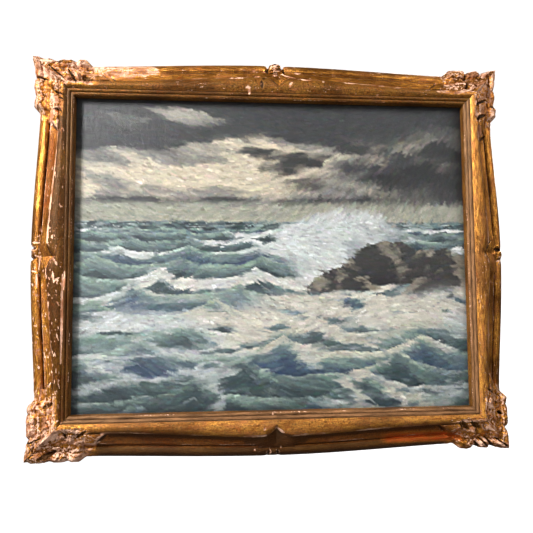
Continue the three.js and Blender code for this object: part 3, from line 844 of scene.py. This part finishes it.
def gilding_material():
    """Leaf over red bole and gesso, toned brown, rubbed, flaked and darker in the hollows, with
    painted shade under the crest's step and on the bottom rail's cove and rim.
    """
    material, tree, shader = new_material("worn gilding")
    marks = named(tree, "wear_and_shade")
    worn, dark_dirt_and_shade, reddened = add(tree, "ShaderNodeSeparateColor", Color=marks.outputs["Color"]).outputs
    raw = marks.outputs["Alpha"]
    run = named(tree, "run").outputs["Vector"]
    streak = noise(stretched(run, (0.22, 1, 1)), 480, 5, 0.62)
    patch = noise(stretched(run, (0.45, 1, 1)), 95, 5)
    broad = noise(stretched(run, (0.5, 1, 1)), 26, 3)
    fine = noise(run, 1000, 4, 0.65)
    crumb = noise(run, 420, 4, 0.6)
    gold = blend(spread(streak, 0.40, 0.62), COPPER_BROWN, BRIGHT_GOLD)
    gold = blend(spread(patch, 0.50, 0.66, 0, 0.7), gold, WARM_COPPER)
    gold = blend(spread(broad, 0.46, 0.62, 0, 0.7), gold, TONED_BROWN)
    gold = blend(spread(crumb, 0.55, 0.66, 0, 0.6), gold, DIRT)
    gold = blend(spread(fine, 0.52, 0.66, 0, 0.8), gold, DIRT)
    rubbed = larger(reddened, spread(noise(run, 70, 5), 0.60, 0.70, 0, 0.5))
    rubbed = times(rubbed, spread(streak, 0.35, 0.6, 0.35, 1))
    gold = blend(rubbed, gold, RED_BOLE)
    mottle = plus(times(crumb, 0.6), times(streak, 1.1))
    # Dirt and painted shade, mottled, darken the gold towards CREVICE
    grime_and_shade = plus(dark_dirt_and_shade, minus(mottle, 0.85))
    deep = plus(times(dark_dirt_and_shade, 0.42), spread(grime_and_shade, 0.35, 0.75, 0, 0.6))
    gold = blend(deep, gold, CREVICE)
    dusty = spread(streak, 0.3, 0.62, 0.5, 1)
    dusty = times(named(tree, "dust").outputs["Fac"], dusty)
    gold = blend(dusty, gold, DUST)
    torn = plus(worn, times(minus(crumb, 0.5), 1.5))
    bare = spread(torn, 0.44, 0.54)
    gesso = blend(spread(patch, 0.42, 0.60), PALE_GESSO, OLD_WOOD)
    gesso = blend(spread(fine, 0.52, 0.70, 0, 0.7), gesso, OLD_WOOD)
    colour = blend(bare, gold, gesso)
    wood = blend(spread(streak, 0.35, 0.65), (0.20, 0.115, 0.058), (0.33, 0.20, 0.11))
    colour = blend(raw, colour, wood)
    leafed = minus(1.0, larger(bare, raw))
    leafed = times(leafed, minus(1.0, larger(deep, dusty)))
    tree.links.new(times(leafed, 0.8), shader.inputs["Metallic"])
    shader.inputs["Specular IOR Level"].default_value = 0.25
    shader.inputs["Specular Tint"].default_value = (1, 0.66, 0.36, 1)
    rough = plus(spread(patch, 0.3, 0.7, 0.28, 0.48), times(bare, 0.4))
    relief = plus(times(streak, 0.5), times(crumb, 0.5))
    relief = minus(relief, times(bare, 0.25))
    coat(tree, shader, colour, rough, relief, 0.0014)
    return material


# The picture: a rough sea off a rocky point, under a break in the clouds. Colours are sRGB.
SLATE = (0.205, 0.21, 0.215)
STORM = (0.12, 0.125, 0.13)
CREAM = (0.78, 0.735, 0.645)
PEARL = (0.63, 0.61, 0.57)
OLIVE = (0.60, 0.60, 0.54)
FOAM = (0.77, 0.785, 0.775)
MIST = (0.60, 0.63, 0.63)
TEAL = (0.40, 0.47, 0.47)
GLASS = (0.50, 0.58, 0.54)
DEEP = (0.20, 0.26, 0.275)
NAVY = (0.21, 0.28, 0.36)
ROCK = (0.21, 0.205, 0.20)
ROCK_LIT = (0.50, 0.47, 0.42)
LINEN = (0.62, 0.54, 0.42)
PAINT_DEPTH = 0.50


def mixed(first, second, share):
    share = np.clip(share, 0, 1)[..., None]
    return np.asarray(first, float) * (1 - share) + np.asarray(second, float) * share


def paint_sky(x, y):
    drift = cloudy(x * 2.2 + 1.5 * y, y * 5.5 - 0.8 * x, 3, 5)
    wisps = cloudy(x * 5 + 3 * y, y * 16 - 3 * x, 9, 4)
    picture = mixed(SLATE, STORM, ramp(drift, 0.45, 0.68))
    lit = ramp(y + 0.16 * (drift - 0.5) + 0.05 * x, 0.12, 0.18) * (1 - ramp(y, 0.31, 0.355))
    lit = lit * ramp(1.12 - np.abs(x - 0.45) * 1.05 + 0.9 * (drift - 0.5), 0.15, 0.7)
    gleam = np.exp(-(((x - 0.27 - y) / 0.2) ** 2) - ((y - 0.06) / 0.045) ** 2)
    picture = mixed(picture, PEARL, gleam * ramp(wisps, 0.5, 0.68))
    picture = mixed(picture, PEARL, 0.75 * ramp(0.6 * lit + 0.7 * wisps, 0.55, 0.85))
    picture = mixed(picture, CREAM, lit * ramp(wisps + 0.25 * drift, 0.44, 0.62))
    scud = ramp(cloudy(x * 3.4 - 6 * y, y * 10 + 2 * x, 21, 4), 0.56, 0.68) * (1 - ramp(y, 0.26, 0.33))
    picture = mixed(picture, STORM, 0.9 * scud * ramp(x + 0.4 * y, 0.25, 0.6))
    return mixed(picture, mixed(OLIVE, PEARL, 0.35 * ramp(wisps, 0.5, 0.8)), ramp(y, 0.325, 0.355))


def paint_roller(picture, x, y, number, near):
    base = 0.425 + 0.60 * near**1.55
    swing = 0.006 + 0.075 * near**1.1
    roll = 1 - np.abs(np.sin(np.pi * (x / (0.10 + 0.46 * near) + 0.37 * number + 0.2)))
    ripple = cloudy(x * 9, np.full_like(x, base * 37), 60 + number, 3) - 0.5
    crest = base - swing * roll**1.7 - swing * 0.55 * ripple
    down = (y - crest) / (0.02 + 0.13 * near)
    grain = cloudy(x * (26 - 14 * near) - 6 * down, down * 2.5 + number, 90 + number, 3)
    shade = ramp(down + 0.7 * (grain - 0.5) + 0.5 * ramp(near, 0.7, 0.9), 0.2, 0.9)
    body = mixed(GLASS, TEAL, ramp(down + 0.5 * (grain - 0.5), 0.0, 0.35))
    body = mixed(body, DEEP if number % 3 else NAVY, shade)
    body = mixed(body, MIST, 0.5 * ramp(grain, 0.62, 0.8) * (1 - ramp(down, 0.5, 1.2)))
    strong = cloudy(x * 3.2 + 5.1 * number, np.full_like(x, 2.7 * number), 120 + number, 2)
    cap = ramp(strong, 0.38, 0.62) * (1 - 0.75 * ramp(near, 0.62, 0.8))
    spill = (0.03 + 0.45 * cap) * (0.35 + 1.3 * grain)
    body = mixed(body, FOAM, ramp(spill - down, -0.05, 0.12) * (0.35 + 0.65 * cap))
    return mixed(picture, body, ramp(y - crest, -0.002, 0.002) * (1 - 0.35 * ramp(down, 1.0, 2.2)))


def paint_rock(picture, x, y, place, foot, wide, tall, seed):
    lump = np.clip(1 - np.abs(x - place) / wide, 0, 1) ** 0.75
    jag = cloudy(x * 11 + 0.8 * y, np.full_like(x, seed * 0.37), seed, 4)
    top = foot - tall * lump * (0.45 + 0.95 * jag)
    inside = ramp(y - top, 0, 0.006) * ramp(foot + 0.012 + 0.02 * jag - y, 0, 0.012) * (lump > 0.05)
    facet = cloudy(x * 26 - 9 * y, y * 13 + 7 * x, seed + 5, 3)
    stone = mixed(ROCK, ROCK_LIT, ramp(facet - 0.9 * (y - top), 0.42, 0.6))
    return mixed(picture, mixed(stone, STORM, 0.6 * ramp(y - top, 0.05, 0.14)), inside)


def paint_scene(rows, columns):
    y, x = np.mgrid[0:rows, 0:columns] / (rows - 1)
    picture = paint_sky(x, y)
    far = 1 / np.maximum(y - 0.36, 0.03)
    reach = (x - 0.5 * columns / rows) * far
    lace = cloudy(reach * 1.6 + 40, far * 2.4, 31, 5)
    ridge = 1 - np.abs(2 * lace - 1)
    water = mixed(TEAL, DEEP, ramp(cloudy(reach * 0.9, far * 1.6, 41, 3), 0.35, 0.65))
    water = mixed(water, MIST, 0.6 * ramp(ridge, 0.86, 0.98))
    picture = mixed(picture, water, ramp(y, 0.398, 0.403))
    rollers = 13
    for number in range(rollers):
        picture = paint_roller(picture, x, y, number, number / (rollers - 1))
    sheet = np.exp(-(((y - 0.70 - 0.03 * np.sin(5 * x)) / 0.065) ** 2))
    picture = mixed(picture, FOAM, sheet * ramp(ridge + 0.3 * (lace - 0.5), 0.62, 0.9))
    picture = mixed(picture, FOAM, 0.7 * ramp(ridge, 0.86, 0.98) * ramp(y, 0.72, 0.8))
    burst = cloudy(x * 9, y * 9, 151, 4)
    plume = ((x - 0.86) / 0.27) ** 2 + ((y - 0.50) / 0.15) ** 2
    spray = ramp(1.25 - plume + 1.5 * (burst - 0.5), 0.35, 0.8) * ramp(0.62 - y, -0.02, 0.05)
    picture = mixed(picture, mixed(MIST, FOAM, ramp(burst, 0.4, 0.6)), spray)
    for place, foot, wide, tall, seed in (
        (1.06, 0.585, 0.27, 0.165, 170),
        (0.84, 0.605, 0.11, 0.075, 184),
        (1.20, 0.625, 0.17, 0.12, 197),
    ):
        picture = paint_rock(picture, x, y, place, foot, wide, tall, seed)
    surf = np.exp(-(((y - 0.655 - 0.02 * np.sin(9 * x)) / 0.03) ** 2)) * ramp(x, 0.55, 0.75)
    picture = mixed(picture, FOAM, surf * ramp(burst + 0.3 * ridge, 0.5, 0.75))
    sunlit = ramp(picture[..., 1], 0.5, 0.72) * ramp(cloudy(x * 3, y * 6, 205, 3), 0.42, 0.62)
    sunlit = sunlit * ramp(y, 0.5, 0.6)
    return mixed(picture, CREAM, 0.55 * sunlit)


def brush(picture, relief, strokes, length, width, jitter, seed):
    """Lays strokes over the picture, each in the colour under its middle."""
    rows, columns, _ = picture.shape
    rng = np.random.default_rng(seed)
    source = picture.copy()
    reach = int(length + 2)
    for _ in range(strokes):
        row, column = rng.integers(0, rows), rng.integers(0, columns)
        x, y = column / rows, row / rows
        lean = -0.35 + 0.6 * math.sin(3 * x + 4 * y) if y < 0.4 else 0.25 * math.sin(9 * x + 14 * y)
        lean += rng.normal(0, 0.22)
        long, wide = length * rng.uniform(0.5, 1.2), width * rng.uniform(0.6, 1.3)
        top, left = max(0, row - reach), max(0, column - reach)
        window = (slice(top, row + reach + 1), slice(left, column + reach + 1))
        down, right = np.indices(picture[window].shape[:2], dtype=float)
        down += top - row
        right += left - column
        ahead = (right * math.cos(lean) + down * math.sin(lean)) / long
        aside = (down * math.cos(lean) - right * math.sin(lean)) / wide
        bristle = 0.75 + 0.25 * np.sin(aside * 9 + rng.uniform(0, 6))
        cover = np.clip(1.3 - ahead**4 - aside**2, 0, 1) * bristle * rng.uniform(0.5, 0.95)
        tone = source[row, column] * (1 + rng.normal(0, jitter)) + rng.normal(0, jitter * 0.15, 3)
        picture[window] = mixed(picture[window], np.clip(tone, 0, 1), cover)
        relief[window] += (cover * bristle - relief[window]) * cover * 0.8


def linear(colour):
    colour = np.clip(colour, 0, 1)
    return np.where(colour < 0.04045, colour / 12.92, ((colour + 0.055) / 1.055) ** 2.4)


def crisp(picture, amount):
    soft = np.stack([softened(picture[..., layer], 2) for layer in range(3)], axis=-1)
    return np.clip(picture + amount * (picture - soft), 0, 1)


def make_canvas(material):
    rows, columns = PICTURE_ROWS, PICTURE_COLUMNS
    picture = crisp(paint_scene(rows, columns), 1.0)
    relief = np.zeros((rows, columns))
    brush(picture, relief, strokes=6000, length=6, width=1.6, jitter=0.07, seed=5)
    brush(picture, relief, strokes=14000, length=3, width=0.9, jitter=0.12, seed=6)
    picture = crisp(picture, 0.6)
    wide, tall = SIGHT_WIDTH + 2 * LIP_COVER, SIGHT_HEIGHT + 2 * LIP_COVER
    x = np.linspace(-wide / 2, wide / 2, columns)[None, :] + np.zeros((rows, 1))
    z = np.linspace(tall / 2, -tall / 2, rows)[:, None] + np.zeros((1, columns))
    inside = ramp(wide / 2 - LIP_COVER - np.abs(x), 0, 4) * ramp(tall / 2 - LIP_COVER - np.abs(z), 0, 4)
    y = -(canvas_front - 0.05 + (0.25 * relief * inside))
    mesh, row, column = grid_mesh("painted_canvas", np.stack([x, y, z - hanger_above], axis=-1) * MM)
    # Painted shade on the canvas along the sight edge, where the lip's shadow falls
    lip_shade = 1 - 0.4 * ramp(LIP_COVER + 7 - wide / 2 + np.abs(x), 0, 7)
    lip_shade = np.minimum(lip_shade, 1 - 0.4 * ramp(LIP_COVER + 6 - tall / 2 + np.abs(z), 0, 6))
    colours = np.ones((rows, columns, 4))
    colours[..., :3] = PAINT_DEPTH * linear(picture) * lip_shade[..., None]
    bm = bmesh.new()
    bm.from_mesh(mesh)
    face_count = len(bm.verts)
    loop = [edge for edge in bm.edges if edge.is_boundary]
    centre = Vector((0, 0, -hanger_above * MM))
    inside_front = canvas_front - CANVAS_THICKNESS
    for depth, inset in ((stretcher_back, 0), (stretcher_back, 1), (inside_front, 1)):
        made = bmesh.ops.extrude_edge_only(bm, edges=loop)["geom"]
        loop = [item for item in made if isinstance(item, bmesh.types.BMEdge)]
        for vert in (item for item in made if isinstance(item, bmesh.types.BMVert)):
            for axis, size in ((0, wide), (2, tall)):
                limit = (size / 2 - inset * CANVAS_THICKNESS) * MM
                vert.co[axis] = centre[axis] + max(-limit, min(limit, vert.co[axis] - centre[axis]))
            vert.co.y = -depth * MM
    bmesh.ops.holes_fill(bm, edges=loop, sides=0)
    write_out(bm, mesh)
    mesh.set_sharp_from_angle(angle=math.radians(50))
    values = np.ones((len(mesh.vertices), 4))
    values[:, :3] = linear(np.array(LINEN))
    values[:face_count] = colours[row, column]
    values[face_count:, 3] = 0
    set_colours(mesh, "picture", values)
    piece = add_piece(mesh, "painted_canvas", material, "canvas")
    return piece


def canvas_material():
    """Strokes and weave over the picture's colours, and stained linen where there is no paint."""
    material, tree, shader = new_material("oil paint on canvas")
    paint = named(tree, "picture")
    painted = paint.outputs["Alpha"]
    place = add(tree, "ShaderNodeTexCoord").outputs["Object"]
    smear = noise(stretched(place, (1, 1, 2.6)), 650, 4)
    threads = []
    for direction in ("X", "Z"):
        wave = add(tree, "ShaderNodeTexWave", Vector=place, Scale=210, Distortion=0.6, Detail=1.0)
        wave.inputs["Detail Scale"].default_value = 3
        wave.wave_type = "BANDS"
        wave.bands_direction = direction
        threads.append(wave.outputs["Fac"])
    weave = times(*threads)
    tone = spread(smear, 0.25, 0.75, 0.86, 1.12)
    tone = times(tone, spread(weave, 0, 1, 0.90, 1.06))
    colour = add(tree, "ShaderNodeHueSaturation", Color=paint.outputs["Color"], Value=tone).outputs[0]
    stain = spread(noise(place, 11, 5, 0.6), 0.42, 0.62, 0, 0.5)
    linen = blend(stain, colour, tuple(0.45 * part for part in linear(np.array(LINEN))))
    colour = blend(painted, linen, colour)
    shine = spread(noise(place, 30, 3), 0.35, 0.65, 0.50, 0.36)
    rough = plus(shine, times(minus(1, painted), 0.4))
    shader.inputs["Specular IOR Level"].default_value = 0.3
    coat(tree, shader, colour, rough, plus(times(weave, 0.5), smear), 0.0003)
    return material


def wood_material(name, grain):
    material, tree, shader = new_material(name)
    place = add(tree, "ShaderNodeTexCoord").outputs["Object"]
    long = stretched(place, grain)
    rings = noise(long, 160, 5)
    fibre = noise(long, 900, 3)
    stain = noise(place, 14, 3)
    colour = blend(spread(rings, 0.35, 0.65), PALE_PINE, DARK_PINE)
    old = tuple(0.5 * part for part in DARK_PINE)
    colour = blend(spread(stain, 0.45, 0.7, 0, 0.45), colour, old)
    rough = spread(fibre, 0.3, 0.7, 0.7, 0.82)
    coat(tree, shader, colour, rough, plus(rings, fibre), 0.0004)
    return material


def steel_material():
    material, tree, shader = new_material("dull zinc")
    place = add(tree, "ShaderNodeTexCoord").outputs["Object"]
    brushed = noise(stretched(place, (0.15, 1, 1)), 1800, 3)
    spots = noise(place, 420, 4)
    colour = blend(spread(spots, 0.5, 0.7, 0, 0.7), ZINC, RUST)
    shader.inputs["Metallic"].default_value = 0.9
    rough = spread(brushed, 0.3, 0.7, 0.40, 0.58)
    coat(tree, shader, colour, rough, plus(brushed, spots), 0.0001)
    return material


def make_stretcher(name, material):
    """A mitred bar that bears on the canvas only along the outer part of its front."""
    rail = RAILS[name]
    outside = LIP_COVER - CANVAS_THICKNESS - FIT_GAP
    inside = outside - STRETCHER_WIDTH
    mesh = bpy.data.meshes.new(f"bar_{name}")
    bm = bmesh.new()
    bmesh.ops.create_cube(bm, size=2)
    for vert in bm.verts:
        outer, back, far = vert.co.z > 0, vert.co.y > 0, vert.co.x > 0
        offset = outside if outer else inside
        height = stretcher_back if back else stretcher_front - (0 if outer else STRETCHER_BEVEL)
        along = (rail["half"] + offset - mitre_gap) * (1 if far else -1)
        vert.co = Vector((along, -height, rail["across"] + offset))
    front = [edge for edge in bm.edges if all(vert.co.y < -stretcher_back - 5 for vert in edge.verts)]
    ends = [edge for edge in front if abs(edge.verts[0].co.z - edge.verts[1].co.z) > 5]
    bmesh.ops.subdivide_edges(bm, edges=ends, cuts=1)
    for vert in bm.verts:
        if abs(vert.co.z - rail["across"] - (outside + inside) / 2) < 1:
            shift = outside - STRETCHER_FLAT - (vert.co.z - rail["across"])
            vert.co.z += shift
            vert.co.x += math.copysign(shift, vert.co.x)
            vert.co.y = -stretcher_front
    rounding = {"offset": 0.6, "offset_type": "OFFSET", "segments": 2, "profile": 0.5, "material": -1}
    bmesh.ops.bevel(bm, geom=bm.edges[:], affect="EDGES", **rounding)
    turn = Matrix.Rotation(rail["turn"], 4, "Y")
    down = Matrix.Translation((0, 0, -hanger_above))
    bmesh.ops.transform(bm, matrix=Matrix.Scale(MM, 4) @ down @ turn, verts=bm.verts[:])
    write_out(bm, mesh)
    mesh.set_sharp_from_angle(angle=math.radians(40))
    return add_piece(mesh, f"bar_{name}", material, f"stretcher_{name}")


gilding = gilding_material()
for place_in_order, rail_name in enumerate(RAILS):
    make_rail(rail_name, 3 + place_in_order, gilding)

canvas = make_canvas(canvas_material())

flat_wood = wood_material("sawn pine, grain across", (0.06, 1, 1))
upright_wood = wood_material("sawn pine, grain upright", (1, 1, 0.06))
for rail_name in RAILS:
    make_stretcher(rail_name, flat_wood if rail_name in ("top", "bottom") else upright_wood)

steel = steel_material()
for node_name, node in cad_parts.items():
    if node_name.startswith(("brad", "hanger")):
        node.data.materials.clear()
        node.data.materials.append(steel)

# Studio: a pale round floor and wall that give no light of their own to the piece, soft lights
FLOOR_LEVEL = -1
FLOOR_RADIUS = 2.6
SWEEP_RADIUS = 0.9
WALL_TOP = 4.5
LIT_SPOT = Vector((0, 0, -0.22))
LIGHT_SPREAD = math.radians(60)
# Name, place, size and power in watts
LIGHTS = (
    ("window", (-1.4, -1.2, 0.85), (0.5, 0.8), 18),
    ("fill", (1.5, -1.0, 0.8), (1.0, 1.0), 4.2),
    ("front", (0.3, -2.2, 0.1), (1.2, 1.2), 1.2),
    ("bounce", (-0.6, -1.3, -1.5), (1.4, 1.0), 2.3),
    ("behind", (1.1, 1.5, 0.7), (1.0, 1.0), 8),
)


def make_floor():
    mesh = bpy.data.meshes.new("pale_floor")
    bm = bmesh.new()
    profile = [(0, FLOOR_LEVEL), (FLOOR_RADIUS, FLOOR_LEVEL)]
    for step in range(1, 9):
        angle = step / 8 * math.pi / 2
        rise = SWEEP_RADIUS * (1 - math.cos(angle))
        profile.append((FLOOR_RADIUS + SWEEP_RADIUS * math.sin(angle), FLOOR_LEVEL + rise))
    profile.append((FLOOR_RADIUS + SWEEP_RADIUS, WALL_TOP))
    line = [bm.verts.new((place, 0, height)) for place, height in profile]
    line += [bm.edges.new(pair) for pair in zip(line, line[1:])]
    circle = {"axis": (0, 0, 1), "cent": (0, 0, 0), "angle": 2 * math.pi, "steps": 48}
    bmesh.ops.spin(bm, geom=line, use_merge=True, **circle)
    bmesh.ops.remove_doubles(bm, verts=bm.verts[:], dist=1e-5)
    write_out(bm, mesh)
    material, _, shader = new_material("pale floor")
    shader.inputs["Base Color"].default_value = (0.9, 0.9, 0.9, 1)
    shader.inputs["Roughness"].default_value = 0.9
    shader.inputs["Emission Color"].default_value = (1, 1, 1, 1)
    shader.inputs["Emission Strength"].default_value = 1.02
    mesh.materials.append(material)
    floor = put_in_scene("pale_floor", mesh)
    floor.visible_diffuse = False
    floor.visible_glossy = False
    floor.visible_shadow = False


make_floor()
for light_name, place, size, power in LIGHTS:
    light = bpy.data.lights.new(light_name, "AREA")
    light.shape = "RECTANGLE"
    light.size, light.size_y = size
    light.energy = power
    light.spread = LIGHT_SPREAD
    lamp = put_in_scene(light_name, light)
    lamp.location = place
    lamp.rotation_euler = (LIT_SPOT - Vector(place)).to_track_quat("-Z", "Y").to_euler()
    lamp.visible_camera = False

world = bpy.data.worlds.new("studio")
scene.world = world
world.use_nodes = True
background = world.node_tree.nodes["Background"].inputs
background["Color"].default_value = (1, 1, 1, 1)
background["Strength"].default_value = 0.06
scene.view_settings.view_transform = "Standard"

# Viewpoint solved from the photo: low and left of the middle, 0.6 m in front of the picture
camera = bpy.data.cameras.new("camera")
PHOTO_WIDTH = 533
FOCAL_LENGTH = 500  # in the photo's own pixels
CAMERA_PLACE = Vector((-59.7, -655.4, -57.0 - hanger_above)) * MM
camera.sensor_width = 36
camera.lens = camera.sensor_width * FOCAL_LENGTH / PHOTO_WIDTH
camera.clip_start = 0.01
viewer = put_in_scene("camera", camera)
right = Vector((0.99698, -0.07745, -0.0061))
up = Vector((0.00108, -0.06471, 0.9979))
ahead = Vector((0.07768, 0.99489, 0.06443))
turn = Matrix((right, up, -ahead)).transposed().to_4x4()
viewer.matrix_world = Matrix.Translation(CAMERA_PLACE) @ turn
scene.camera = viewer
